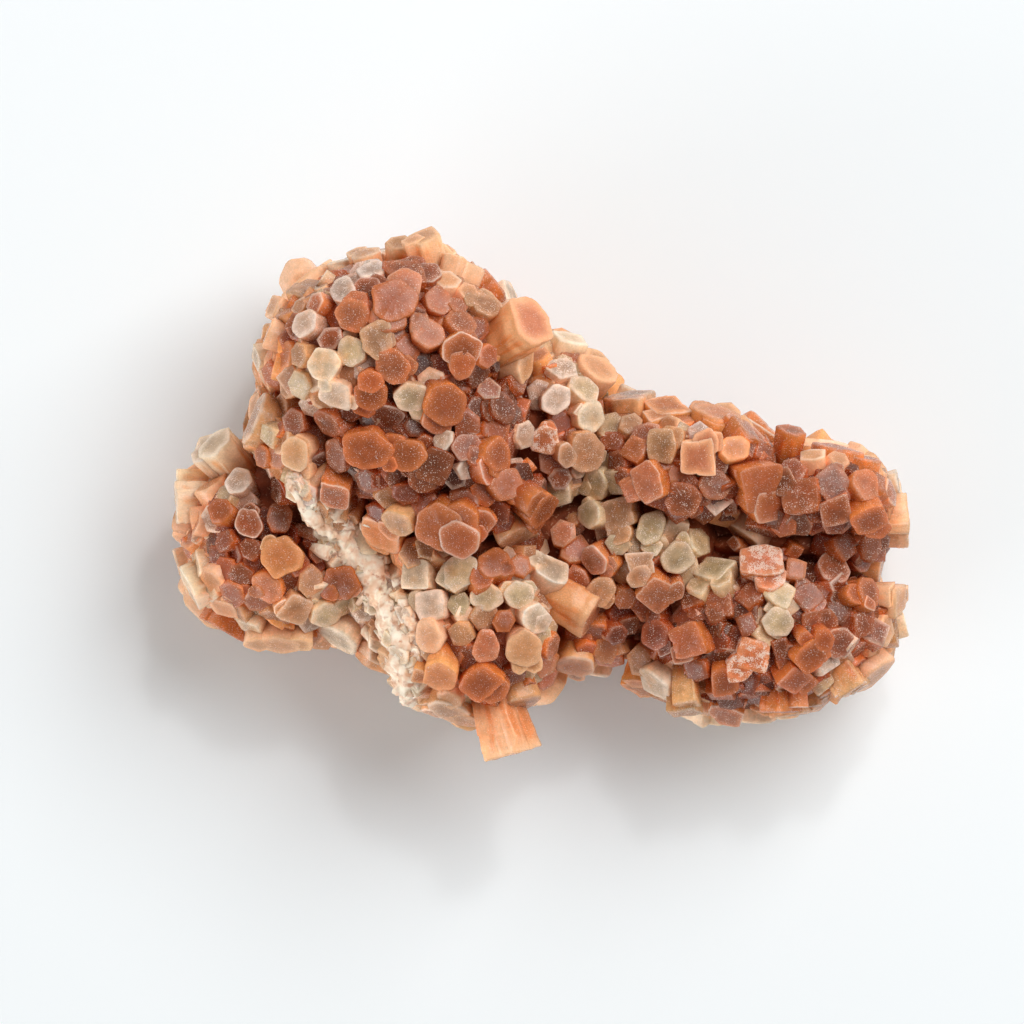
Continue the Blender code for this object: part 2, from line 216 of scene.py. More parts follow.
def ramp(tree, value, low, high, start=0.0, end=1.0):
    """A socket that goes from start to end while value goes from low to high, and stays there."""
    return add_node(tree, "MapRange", Value=value, From_Min=low, From_Max=high, To_Min=start,
                    To_Max=end).outputs[0]


def bumps(tree, height, distance, below=None):
    """A normal socket with this relief in mm, over another relief if one is given."""
    made = add_node(tree, "Bump", Height=height, Distance=distance * MM, Strength=1.0)
    if below:
        tree.links.new(below, made.inputs["Normal"])
    return made.outputs[0]


def mass_material():
    material, tree, shader = new_material("iron_stained_mass")
    stain = ramp(tree, noise(tree, size=2.4), low=0.38, high=0.62)
    brown = mix_colours(tree, stain, linear(MASS_BROWN), linear(MASS_ORANGE))
    specks = ramp(tree, noise(tree, size=0.22, detail=3.0), low=0.60, high=0.70)
    relief = bumps(tree, noise(tree, size=0.3, detail=4.0), distance=0.12)
    set_inputs(tree, shader, Base_Color=mix_colours(tree, specks, brown, linear(MASS_SPECK)),
               Roughness=ramp(tree, specks, 0, 1, start=0.75, end=0.35), Normal=relief)
    return material


def lobe_piece(name, lobes, material):
    points = np.concatenate([with_ends(lobe_rings(*lobe)) for lobe in lobes.values()])
    add_piece(name, points, ring_faces(len(lobes), *MASS_GRID)[0], material)


mass_stone = mass_material()
lobe_piece("ground_mass", LOBES, mass_stone)

# Prisms that the cluster rests on
# Five prisms of the back point straight down and end level, so the specimen lies on their flat caps.
# Like all the others they are six-sided aragonite twins, wider at the cap than at the root.

FEET = [(-21.5, -4.5, 4.2, "C"), (-9.5, 9.5, 4.6, "O"), (-5.5, -10.0, 4.0, "E"), (18.5, -11.0, 4.4, "C"),
        (17.0, -1.5, 4.2, "E")]
FOOT_LENGTH = 8.0
SEED = 7
PRISM_LENGTH = 5.4
OVER_CORNERS = 1.06  # size over the corners, as a share of the mean width
CORNER_SPREAD = 0.07  # how uneven the six corners are
BASE_TAPER = 0.78
LEAN_SPREAD = 0.13
DOWN = np.array((0.0, 0.0, -1.0))

# Colour of a prism's cap, of the cap's edge, of its sides below that, and of its sides deep down
# The sides are painted lighter just under the cap as a glow of light through the stone, and darker deep down
# as shade between the prisms
TONES = {
    "B": ((164, 91, 60), (188, 111, 76), (208, 124, 76), (150, 65, 32)),  # brown cap, orange sides
    "R": ((124, 64, 42), (148, 80, 52), (176, 92, 54), (118, 46, 22)),  # dark rust
    "O": ((196, 122, 80), (222, 150, 106), (240, 166, 110), (196, 98, 48)),  # bright orange
    "P": ((172, 104, 76), (192, 120, 88), (214, 130, 82), (150, 70, 36)),  # pinkish brown
    "M": ((140, 84, 63), (160, 99, 74), (182, 102, 64), (122, 54, 28)),  # mauve brown
    "D": ((108, 66, 50), (128, 80, 60), (148, 80, 50), (96, 44, 24)),  # dark mauve
    "K": ((84, 52, 42), (100, 62, 48), (110, 60, 40), (70, 34, 20)),  # dark, deep in a gap
    "G": ((194, 164, 126), (214, 184, 146), (224, 188, 142), (168, 114, 76)),  # greyish beige
    "Y": ((206, 174, 142), (228, 200, 166), (244, 206, 166), (210, 146, 102)),  # cream
    "C": ((200, 142, 102), (226, 170, 128), (246, 192, 146), (208, 122, 74)),  # peach
    "E": ((178, 128, 96), (198, 148, 114), (218, 160, 116), (162, 90, 50)),  # beige
    "W": ((194, 158, 134), (222, 194, 172), (226, 180, 146), (162, 104, 70)),  # frosted white
    "S": ((214, 180, 144), (238, 210, 176), (255, 222, 180), (248, 200, 152)),  # clear cream
    "F": ((192, 110, 76), (212, 136, 100), (222, 138, 92), (156, 74, 40)),  # orange under white frost
    "A": ((206, 126, 94), (240, 170, 128), (255, 188, 136), (246, 152, 92)),  # clear amber
}
TONE_SPREAD, HUE_SPREAD, SHIFT_LIMITS = 0.08, 0.016, (0.6, 1.4)
CAP_MIDDLE = (0.72, 1.08)  # the middle of a cap is darker or lighter than its tone by this factor
BRIGHTEST = 0.90  # no surface gives back more light than this
# The thin bright line round a few caps is a painted highlight
EDGE_LIGHT, EDGE_SHARE, EDGE_RARITY = (255, 240, 222), 0.6, 4  # a thin bright line round a few caps
IRON_PIVOT, IRON_POWER = np.array((1.0, 0.38, 0.25)), np.array((0.0, 0.20, 0.46))
PALEST = np.array((1.0, 1.0, 1.06))
IRON = np.array([[1.2], [1.0], [0.8], [0.8], [0.55]])  # its strength on each rung of a tone's ladder
TOP_RUNG = 4


def ladder(cap, edge, side, deep):
    """The colours c of a tone from deep down to the middle of the cap. Iron takes blue first and then
    green, the more the darker the stone: c (c / pivot)^(power * iron), and hardly adds to a pale one."""
    light = linear((deep, side, edge, edge, cap))
    return light * ((light / IRON_PIVOT) ** (IRON_POWER * IRON)).clip(0, PALEST)


TONE_LADDER = {tone: ladder(*colours) for tone, colours in TONES.items()}
FROST = {"B": 0.2, "R": 0.3, "O": 0.2, "P": 0.4, "M": 0.5, "D": 0.45, "K": 0.3, "G": 0.6, "Y": 0.45,
         "C": 0.15, "E": 0.45, "W": 1.0, "F": 1.6, "A": 0.0, "S": 0.1}

# Painted shade, together with iron stain, darkens the gaps: it starts this far under the lobes' surface, is
# full this much lower, and takes this share of the red, green and blue there
STAIN_AND_SHADE_FROM, STAIN_AND_SHADE_DEPTH, STAIN_AND_SHADE = 0.1, 2.0, (0.20, 0.50, 0.66)

# Rings of a plain prism: depth below the cap in lengths and in widths, size, and place on the ladder of
# colours from 0 for deep down to 4 for the middle of the cap
PLAIN_RINGS = ((1.0, 0.0, BASE_TAPER, 0.0), (0.36, 0.06, 0.93, 0.3), (0.0, 0.07, 1.0, 1.05),
               (0.0, 0.025, 0.985, 1.9), (0.0, 0.0, 0.945, 2.2), (0.0, -0.003, 0.84, 2.85),
               (0.0, -0.006, 0.6, 3.6), (0.0, -0.008, 0.35, 4.0))
# Open prisms have their deep sides painted lighter: a painted glow where light gets in
OPEN_RINGS = ((1.0, 0.0, BASE_TAPER, 0.6), (0.4, 0.0, 0.92, 0.95), *PLAIN_RINGS[2:])  # where light gets in
CORNER_REACH, CORNER_WEAR = 0.2, 0.065  # a corner is rounded this far along its sides, and this deep
PLAIN_PLACES = (np.arange(6)[:, None] + (0, CORNER_REACH, 1 - CORNER_REACH)).ravel()
CORNER_SLIP = 0.10  # how far each corner has slipped round, radians
STRETCH = (0.9, 1.12)
FULL_WIDTH = 1.1  # a whole outline with its worn edges is this much wider than the flat of its cap
CAP_DOME = 0.01  # height of the cap's middle, in widths
WEAR, WEAR_SIZE = (0.07, 0.04, 0.022), (1.0, 0.45, 0.25)  # coarse to fine unevenness of every face, mm
WEAR_SEEDS, OUTLINE_SEED = (11, 12, 13), 20
UV_GAP = 7.3  # between the UV places of two prisms, mm

# Shares of the prisms left and right of SQUARED_FROM are nearly square, two of their sides almost gone
SQUARED_FROM, SQUARED_SHARE, SQUARENESS = 6.0, (0.08, 0.5), (0.6, 1.0)
SQUARE_SLIP = np.radians((15, 0, -15, 15, 0, -15))
SQUARE_RADII = np.array((0.12, -0.20, 0.12, 0.12, -0.20, 0.12))

WHITE, RUST_TINT, BAND_TINT = (1.0, 1.0, 1.0), (1.04, 0.86, 0.68), (0.94, 0.60, 0.36)
FROST_WHITE = (236, 214, 196)


def unit(v):
    return v / np.linalg.norm(v, axis=-1, keepdims=True)


def prism(cap, axis, width, tone, length=PRISM_LENGTH, lean_spread=LEAN_SPREAD):
    """One prism as a plain record, its lean, spin and corners drawn from the seeded generator."""
    lean = rng.normal(0, lean_spread, 3)
    return {
        "cap": np.array(cap, float),
        "axis": unit(axis + lean),
        "width": width,
        "spin": rng.uniform(0, math.tau / 6),
        "corners": 1 + rng.uniform(-CORNER_SPREAD, CORNER_SPREAD, 6),
        "length": length,
        "tone": tone,
        "frost": FROST[tone],
        "worn": 1.0,
        "often_square": SQUARED_SHARE[int(cap[0] > SQUARED_FROM)],
    }


def column(prisms, key):
    return np.array([c[key] for c in prisms])


def outlines(prisms, places):
    """Points (n, p, 2) round each cap. Place k + t is the mix (1 - t) C(k) + t C(k + 1) of two corners,
    C(k) being at 60 k + 30 degrees, or slipped a little, and at the prism's own radius there. The
    corners are worn round, and the whole is stretched along one direction and squeezed across it."""
    count = len(prisms)
    own = np.random.default_rng(count + OUTLINE_SEED)
    squared = own.random((count, 1)) < column(prisms, "often_square")[:, None]
    squared = squared * own.uniform(*SQUARENESS, (count, 1))
    radii = column(prisms, "corners") * column(prisms, "width")[:, None] * OVER_CORNERS / 2
    radii *= FULL_WIDTH * (1 + squared * SQUARE_RADII)
    angles = np.radians(60 * np.arange(6) + 30) + own.normal(0, CORNER_SLIP, (count, 6))
    corner_points = radii * np.exp(1j * (angles + squared * SQUARE_SLIP))
    side, share = np.divmod(places, 1)
    side = side.astype(int)
    outline = corner_points[:, side] * (1 - share) + corner_points[:, (side + 1) % 6] * share
    near_corner = np.clip(1 - np.minimum(share, 1 - share) / CORNER_REACH, 0, 1)
    outline *= 1 - CORNER_WEAR * column(prisms, "worn")[:, None] * near_corner ** 2
    turn = np.exp(1j * own.uniform(0, math.pi, (count, 1)))
    stretch = own.uniform(*STRETCH, (count, 1))
    along = outline / turn
    outline = (along.real * stretch + 1j * along.imag / stretch) * turn
    return np.stack((outline.real, outline.imag), -1)


def upright(c):
    """The turn that takes Z on to a prism's axis."""
    return Vector(c["axis"]).to_track_quat("Z", "Y").to_matrix()


def turned(prisms, local):
    """Points (n, p, 3) in each prism's own axes, Z along it from its cap, brought to the part's frame."""
    turns = np.array([upright(c) @ Matrix.Rotation(c["spin"], 3, "Z") for c in prisms])
    return (column(prisms, "cap") + ON_TABLE)[:, None] + np.einsum("nij,npj->npi", turns, local)


def ladder_colours(prisms, rungs):
    """Colours and frost (n, r, 4): the place in rungs on each prism's ladder of colours, with a slight
    shift of its own."""
    count = len(prisms)
    own = np.random.default_rng(count)
    ladders = np.array([TONE_LADDER[c["tone"]] for c in prisms])
    # A painted highlight on the edge of a few caps
    edge_light = EDGE_SHARE * own.random((count, 1)) ** EDGE_RARITY
    ladders[:, 2] += (linear(EDGE_LIGHT) - ladders[:, 2]) * edge_light
    low = np.minimum(rungs.astype(int), TOP_RUNG - 1)
    share = (rungs - low)[:, None]
    shift = own.normal(1, TONE_SPREAD, (count, 1, 1)) * own.normal(1, HUE_SPREAD, (count, 1, 3))
    colours = (ladders[:, low] * (1 - share) + ladders[:, low + 1] * share) * shift.clip(*SHIFT_LIMITS)
    middle = own.uniform(*CAP_MIDDLE, (count, 1, 1))
    colours *= 1 - (1 - middle) * (rungs - TOP_RUNG + 1).clip(0, 1)[:, None]
    colours *= np.minimum(1, BRIGHTEST / colours.max(-1, keepdims=True))
    frost = np.broadcast_to(column(prisms, "frost")[:, None, None], (*colours.shape[:2], 1))
    return np.concatenate((colours, frost), -1)


def gap_stain_and_shade(points):
    """Painted shade and iron stain in the gaps, as a factor (n, 3) on the colours at points (n, 3): less red,
    and far less green and blue, with the depth under the lobe that holds the point deepest, (1 -
    fullness^(1/F)) times its mean half size."""
    shares = fullness((points[:, None] - ON_TABLE - CENTRES) / RADII) ** (1 / FULLNESS)
    depth = ((1 - shares) * RADII.mean(1)).max(1)
    return 1 - ((depth - STAIN_AND_SHADE_FROM) / STAIN_AND_SHADE_DEPTH).clip(0, 1)[:, None] * np.array(STAIN_AND_SHADE)


def prism_piece(name, prisms, material, rings=PLAIN_RINGS, places=PLAIN_PLACES, steps=None, stained_and_shaded=True):
    """A piece of many prisms: the hexagon's outline carried along each axis, ring by ring, at
    z = -(a length + b width) and size s for each row (a, b, s, colour) of rings, times any growth steps."""
    a, b, size, rung = np.array(rings).T
    length, width = column(prisms, "length"), column(prisms, "width")
    z = -(length[:, None] * a + width[:, None] * b)
    count, ring_count, around = len(prisms), len(rings), len(places)
    local = np.empty((count, ring_count, around, 3))
    local[..., :2] = outlines(prisms, places)[:, None] * size[:, None, None]
    if steps:
        local[..., :2] *= steps(prisms, z, places)[..., None]
    local[..., 2] = z[..., None]
    ends = np.zeros((count, 2, 3))
    ends[:, 0, 2], ends[:, 1, 2] = -length, CAP_DOME * width
    local = np.concatenate((local.reshape(count, -1, 3), ends), 1)
    points = turned(prisms, local).reshape(-1, 3)
    for height, bump in zip(WEAR, WEAR_SIZE):
        points = points + height * np.stack([rough(points, bump, seed) for seed in WEAR_SEEDS], -1)
    colours = ladder_colours(prisms, np.append(rung, (rung[0], TOP_RUNG)))
    colours = np.concatenate((np.repeat(colours[:, :-2], around, 1), colours[:, -2:]), 1).reshape(-1, 4)
    # Prisms deep in the gaps get painted shade, along with iron stain, on their colours
    if stained_and_shaded:
        colours[:, :3] *= gap_stain_and_shade(points)
    faces, corner_places = ring_faces(count, ring_count, around)
    corners = np.concatenate([face.ravel() for face in faces])
    body = corners // (ring_count * around + 2)
    round_it = np.interp(corner_places, np.arange(around + 1), np.append(places, 6 + places[0]))
    uv = np.stack((round_it * width[body] / 2 + body * UV_GAP, local.reshape(-1, 3)[corners, 2]), -1)
    add_piece(name, points, faces, material, colours, uv)


def combined(tree, first, second, how="MULTIPLY"):
    made = add_node(tree, "Math", Value=first)
    made.operation = how
    tree.links.new(second, made.inputs[1])
    return made.outputs[0]


def prism_material(name, light_reach, banding=0.0):
    """Translucent aragonite: the tone as painted, with its painted glow and painted shade, mottled and rusty,
    streaked along the sides, and under frost. Light comes out again about light_reach mm away. Clear prisms
    also show bands of iron along their sides, of this strength."""
    material, tree, shader = new_material(name)
    paint = add_node(tree, "Attribute")
    paint.attribute_name = "tone"
    frosting = paint.outputs["Alpha"]
    uneven = ramp(tree, frosting, low=0.0, high=0.5, start=0.3, end=1.0)
    streaks = noise(tree, size=0.14, stretch=(1.0, 0.07, 1.0))
    fine = noise(tree, size=0.13, detail=3.0)
    mottle = ramp(tree, noise(tree, size=0.8, detail=4.0), low=0.3, high=0.7, start=0.76, end=1.20)
    shade = combined(tree, mottle, ramp(tree, streaks, low=0.3, high=0.7, start=0.95, end=1.05))
    rust = ramp(tree, noise(tree, size=1.7, detail=3.0), low=0.52, high=0.68, end=0.8)
    layers = [mix_colours(tree, uneven, WHITE, shade),
              ramp(tree, fine, low=0.3, high=0.7, start=0.90, end=1.10),
              mix_colours(tree, combined(tree, rust, uneven), WHITE, RUST_TINT)]
    if banding:
        blotches = noise(tree, size=0.9, detail=3.0, stretch=(1.0, 0.2, 1.0))
        uv_place = tree.nodes.new("ShaderNodeTexCoord").outputs["UV"]
        height = add_node(tree, "SeparateXYZ", Vector=uv_place).outputs["Y"]
        bands = combined(tree, ramp(tree, blotches, low=0.48, high=0.64, end=banding),
                         ramp(tree, height, low=-0.9, high=-0.3, start=1.0, end=0.0))
        layers.append(mix_colours(tree, bands, WHITE, BAND_TINT))
    # The painted tone already holds the painted glow and painted shade of the sides and the gaps
    stained_and_shaded = paint.outputs["Color"]
    for layer in layers:
        stained_and_shaded = mix_colours(tree, 1.0, stained_and_shaded, layer, "MULTIPLY")
    clouds = combined(tree, ramp(tree, noise(tree, size=0.7, detail=3.0), low=0.40, high=0.60), frosting)
    bare = ramp(tree, clouds, low=0, high=1.6, start=0.68, end=0.40)
    crusted = combined(tree, noise(tree, size=0.085, detail=1.0), bare, "SUBTRACT")
    frost = ramp(tree, crusted, low=0, high=0.05, end=0.75)
    relief = bumps(tree, streaks, distance=0.02)
    shader.subsurface_method = "BURLEY"
    set_inputs(tree, shader, Base_Color=mix_colours(tree, frost, stained_and_shaded, linear(FROST_WHITE)),
               Roughness=ramp(tree, frost, low=0, high=0.8, start=0.24, end=0.60),
               Normal=bumps(tree, fine, distance=0.03, below=relief), Specular_IOR_Level=0.4,
               Subsurface_Weight=0.6, Subsurface_Radius=(1.0, 0.6, 0.4), Subsurface_Scale=light_reach * MM)
    return material


rng = np.random.default_rng(SEED)
prism_stone = prism_material("aragonite_prisms", light_reach=0.8)
feet = [{**prism((x, y, 0), DOWN, width, tone, FOOT_LENGTH), "axis": DOWN} for x, y, width, tone in FEET]
prism_piece("resting_prisms", feet, prism_stone, OPEN_RINGS)
grown = list(feet)

# Prisms of the big upper arm
# The widest arm rises highest. Its brown-capped prisms, their orange sides painted bright as a glow, stand
# proud of a crowd of smaller mauve ones, and frosted and beige ones cover its left flank.

SINK = {"M": 0.4, "D": 0.7, "R": 0.5, "P": 0.1, "G": 0.2, "W": 0.2, "E": 0.1, "B": -0.1, "K": 1.2}
PROUD_FROM_WIDTH, PROUD_RISE = 3.0, 0.5  # prisms at least this wide stand this much higher
RADIAL_SHARE = 0.3  # of an axis: away from the lobe's centre, and the rest square to its surface

# A wide prism also shows growth steps: terraces that go part of the way round
WIDE_FROM = 3.0
TERRACES = (0.3, 0.65, 1.05, 1.55, 2.2, 3.0)  # depths below the cap at which a step may start
STEP_SLOPE = 0.06
TERRACES_EACH = 5
TERRACE_HEIGHT = (0.012, 0.05)  # in widths
TERRACE_REACH = (0.4, 1.5)  # half of its way round, in sides
GROOVE, GROOVED_SHARE = 0.03, 0.5  # depth of the groove in the middle of a side, where two twins meet
STEP_SEED, TWIN_SEED = 50, 90
WIDE_PLACES = (np.arange(6)[:, None] + (0, 0.08, 0.17, 0.32, 0.47, 0.5, 0.53, 0.68, 0.83, 0.92)).ravel()
# Down a wide prism's side the colour falls towards the deep one: painted shade deeper down
SIDE_RUNG, DEEPEST_RUNG, RUNG_FADE = 1.1, 0.15, 2.4  # a side's place on the ladder falls by 1 in this many mm
WIDE_RINGS = [(1.0, 0.0, BASE_TAPER, 0.0)]
for depth in TERRACES[::-1]:
    share = depth / PRISM_LENGTH
    ring = (0.0, 1 - (1 - BASE_TAPER) * share, max(DEEPEST_RUNG, SIDE_RUNG - depth / RUNG_FADE))
    WIDE_RINGS += [(share + STEP_SLOPE / PRISM_LENGTH, *ring), (share, *ring)]
WIDE_RINGS += [(0.0, 0.045, 1.0, 1.1), (0.0, 0.014, 0.99, 1.9), (0.0, 0.001, 0.96, 2.2),
               (0.0, 0.0, 0.90, 2.9), (0.0, -0.003, 0.80, 3.2), (0.0, -0.005, 0.66, 3.6),
               (0.0, -0.008, 0.42, 4.0)]

# Smaller prisms have grown on to the sides of the bigger ones, along the same axis
TWINS_MOST, TWINNED_SHARE = 2, 0.65
TWIN_WIDTH, TWIN_OFFSET, TWIN_SINK = (0.45, 0.8), (0.30, 0.60), (-0.12, 0.5)
TWIN_LENGTH, TWIN_TURN, TWIN_UNEVENNESS = 0.7, 0.1, 1.5

UPPER_ARM = [
    (-12.1, 15.9, 3.7, "B"), (-11.0, 18.4, 3.3, "M"), (-15.6, 15.0, 2.8, "P"), (-16.4, 17.2, 2.4, "W"),
    (-13.9, 18.9, 2.4, "W"), (-14.4, 17.2, 2.6, "M"), (-17.9, 10.9, 2.7, "Y"), (-19.6, 14.4, 2.4, "W"),
    (-15.6, 12.0, 2.4, "G"), (-13.4, 12.9, 3.0, "E"), (-12.2, 10.6, 3.0, "P"), (-17.0, 8.3, 2.6, "Y"),
    (-14.0, 8.3, 2.6, "B"), (-10.6, 8.1, 2.8, "G"), (-12.6, 6.2, 2.4, "D"), (-14.1, 3.7, 3.8, "B"),
    (-11.0, 3.4, 2.8, "B"), (-17.8, 5.6, 2.7, "M"), (-17.2, 3.2, 2.7, "M"), (-20.4, 3.4, 2.7, "C"),
    (-17.1, 0.1, 3.0, "P"), (-8.6, 2.4, 3.1, "D"), (-7.8, 7.6, 3.6, "B"), (-2.5, 7.4, 2.6, "D"),
    (-6.6, 12.0, 3.1, "B"), (-9.2, 13.4, 2.6, "P"), (-4.4, 15.9, 2.5, "E"), (-8.3, 16.2, 2.4, "P"),
    (-6.4, 14.4, 2.4, "P"), (-5.9, 4.0, 2.4, "M"), (-3.4, 3.4, 2.9, "B"), (-2.7, 0.9, 2.7, "B"),
    (-8.3, -2.4, 4.1, "B"), (-11.9, -2.4, 2.6, "E"), (-5.2, -2.3, 2.7, "B"), (0.0, -1.0, 3.3, "B"),
    (-22.6, 13.6, 2.4, "C"),
]


def straight_out(points, lobes):
    """Axes of prisms that grow at these points: mostly square to the lobe, partly from its centre."""
    offset = points - CENTRES[lobes]
    share = offset / RADII[lobes]
    flat = np.hypot(share[..., 0], share[..., 1]) ** (FULLNESS - 2)
    steep = np.abs(share[..., 2]) ** (FULLNESS - 2)
    square = share / RADII[lobes] * np.stack((flat, flat, steep), -1)
    return unit(unit(square) * (1 - RADIAL_SHARE) + unit(offset) * RADIAL_SHARE)


def top_of_lobes(x, y):
    """Point, axis and lobe on top of the highest lobe over (x, y), or on the nearest rim outside all."""
    across = np.hypot((x - CENTRES[:, 0]) / RADII[:, 0], (y - CENTRES[:, 1]) / RADII[:, 1])
    up = np.clip(1 - across ** FULLNESS, 0, None) ** (1 / FULLNESS)
    heights = np.where(across < 1, CENTRES[:, 2] + RADII[:, 2] * up, 0)
    lobe = int(heights.argmax()) if heights.max() > 0 else int(across.argmin())
    point = np.array([x, y, max(heights[lobe], CENTRES[lobe, 2])])
    return point, straight_out(point, lobe), lobe


def facing_up(rows, deeper=0.0):
    """Prisms on the side that faces up, from rows of X and Y of the cap, width and tone."""
    made = []
    for x, y, width, tone in rows:
        point, axis, _ = top_of_lobes(x, y)
        rise = (PROUD_RISE if width >= PROUD_FROM_WIDTH else 0) - SINK.get(tone, 0) - deeper
        made.append(prism(point + axis * rise, axis, width, tone))
    return made


def growth_steps(prisms, z, places):
    """Size (n, r, p) of a wide prism at each ring and place: 1, less a height for every terrace whose
    start is below that ring and whose stretch round the prism holds that place, less the grooves."""
    own = np.random.default_rng(len(prisms) + STEP_SEED)
    each = (len(prisms), TERRACES_EACH)
    start = -np.array(TERRACES)[own.integers(0, len(TERRACES), each)]
    middle, reach, height = (own.uniform(*span, each) for span in ((0, 6), TERRACE_REACH, TERRACE_HEIGHT))
    above = z[:, None] > start[..., None] - STEP_SLOPE / 2
    near = np.abs((places - middle[..., None] + 3) % 6 - 3) < reach[..., None]
    size = 1 - np.einsum("nt,ntr,ntp->nrp", height, above.astype(float), near.astype(float))
    grooved = own.random((len(prisms), 6)) < GROOVED_SHARE
    return size - GROOVE * (grooved[:, places.astype(int)] & (places % 1 == 0.5))[:, None]


def twins(prisms):
    """The smaller prisms that have grown on to these."""
    own = np.random.default_rng(len(prisms) + TWIN_SEED)
    uneven = CORNER_SPREAD * TWIN_UNEVENNESS
    made = []
    for c in prisms:
        for _ in range(own.binomial(TWINS_MOST, TWINNED_SHARE)):
            side = unit(np.cross(c["axis"], own.normal(size=3)))
            offset = side * c["width"] * own.uniform(*TWIN_OFFSET) - c["axis"] * own.uniform(*TWIN_SINK)
            made.append({**c, "cap": c["cap"] + offset, "width": c["width"] * own.uniform(*TWIN_WIDTH),
                         "spin": c["spin"] + own.normal(0, TWIN_TURN), "length": c["length"] * TWIN_LENGTH,
                         "corners": 1 + own.uniform(-uneven, uneven, 6)})
    return made


def arm_pieces(name, prisms, material, rings=PLAIN_RINGS, wide_rings=WIDE_RINGS):
    """Two pieces for one arm's prisms: the wide ones with their growth steps, and all the others."""
    wide = [c for c in prisms if c["width"] >= WIDE_FROM]
    others = twins(prisms) + [c for c in prisms if c["width"] < WIDE_FROM]
    prism_piece(name + "_wide_prisms", wide, material, wide_rings, WIDE_PLACES, growth_steps)
    prism_piece(name + "_prisms", others, material, rings)
    grown.extend(prisms)


arm_pieces("upper_arm", facing_up(UPPER_ARM), prism_stone)

# Prisms of the shoulder
# The low ridge right of the upper arm, where the right arm begins, carries pale prisms: beige, cream and
# frosted white.

SHOULDER = [
    (3.9, 9.0, 2.6, "G"), (4.3, 6.6, 2.6, "Y"), (1.4, 8.0, 2.4, "W"), (0.4, 4.6, 2.4, "F"),
    (3.7, 3.6, 3.4, "E"), (4.4, 0.9, 2.6, "G"), (3.9, -1.4, 2.5, "G"), (6.4, -1.5, 2.8, "E"),
]
arm_pieces("shoulder", facing_up(SHOULDER), prism_stone)

# Prisms of the lower arm
# The arm that points down the picture: pale beige prisms on top, orange and peach ones towards its end.

LOWER_ARM = [
    (1.1, -6.0, 2.9, "Y"), (4.4, -5.4, 2.4, "P"), (-3.8, -5.6, 2.8, "B"), (-6.6, -6.3, 3.0, "G"),
    (-10.2, -6.6, 3.0, "Y"), (-9.2, -9.0, 2.8, "Y"), (-4.4, -8.4, 2.4, "G"), (-1.6, -8.3, 2.4, "G"),
    (-0.3, -10.2, 2.4, "Y"), (-9.3, -11.7, 2.8, "C"), (-4.4, -12.5, 2.4, "P"), (-1.4, -12.6, 3.1, "C"),
    (-8.3, -14.8, 3.2, "O"), (-4.9, -15.3, 3.2, "B"), (5.0, -8.0, 2.4, "E"),
]
arm_pieces("lower_arm", facing_up(LOWER_ARM), prism_stone)

# Prisms of the left arm
# A lower, rounder arm of mauve and beige prisms round one bright orange one.

LEFT_ARM = [
    (-21.6, -1.7, 2.4, "M"), (-21.4, -4.9, 3.5, "O"), (-25.2, 1.4, 2.4, "W"), (-24.3, -2.2, 2.4, "M"),
    (-16.2, -7.2, 3.0, "B"), (-22.7, -7.7, 2.6, "P"), (-20.2, -9.6, 2.7, "E"), (-17.6, -10.1, 2.7, "G"),
]
arm_pieces("left_arm", facing_up(LEFT_ARM), prism_stone)

# Prisms of the right arm
# The long arm has two ridges with a dark crease between them: mauve and brown-capped prisms above it,
# a pale patch near the middle of the specimen, and brown-capped prisms below it.

RIGHT_ARM_UPPER = [
    (10.0, 4.2, 2.8, "E"), (8.9, 1.2, 3.2, "P"), (13.0, 3.1, 3.4, "A"), (16.2, 4.0, 2.4, "O"),
    (14.6, 0.9, 2.5, "M"), (11.8, -0.5, 2.9, "M"), (18.2, 0.8, 4.1, "B"), (17.4, 5.6, 2.8, "P"),
    (21.6, 0.2, 3.4, "M"), (24.3, 1.3, 2.8, "M"), (27.2, 1.0, 2.7, "P"), (24.6, -1.4, 2.7, "M"),
    (27.2, -1.9, 3.0, "B"), (9.2, -2.6, 2.6, "G"),
]
RIGHT_ARM_LOWER = [
    (24.7, -5.6, 2.9, "M"), (27.4, -5.2, 2.5, "M"), (18.4, -5.6, 3.4, "F"), (20.0, -8.0, 2.4, "G"),
    (22.4, -8.2, 2.4, "M"), (19.8, -10.4, 2.5, "G"), (11.5, -5.2, 2.7, "G"), (14.4, -5.8, 2.9, "G"),
    (8.4, -5.6, 2.5, "E"), (9.8, -8.1, 3.3, "P"), (14.8, -8.9, 2.5, "M"), (9.3, -11.6, 2.5, "R"),
    (12.3, -12.0, 3.1, "B"), (17.7, -13.4, 3.1, "F"), (15.4, -15.4, 2.7, "B"), (21.2, -15.4, 2.5, "B"),
    (22.5, -13.2, 3.0, "B"), (25.1, -12.3, 2.7, "M"), (23.1, -10.8, 2.4, "M"), (27.4, -8.0, 2.5, "B"),
]
arm_pieces("right_arm_upper", facing_up(RIGHT_ARM_UPPER), prism_stone)
arm_pieces("right_arm_lower", facing_up(RIGHT_ARM_LOWER), prism_stone)
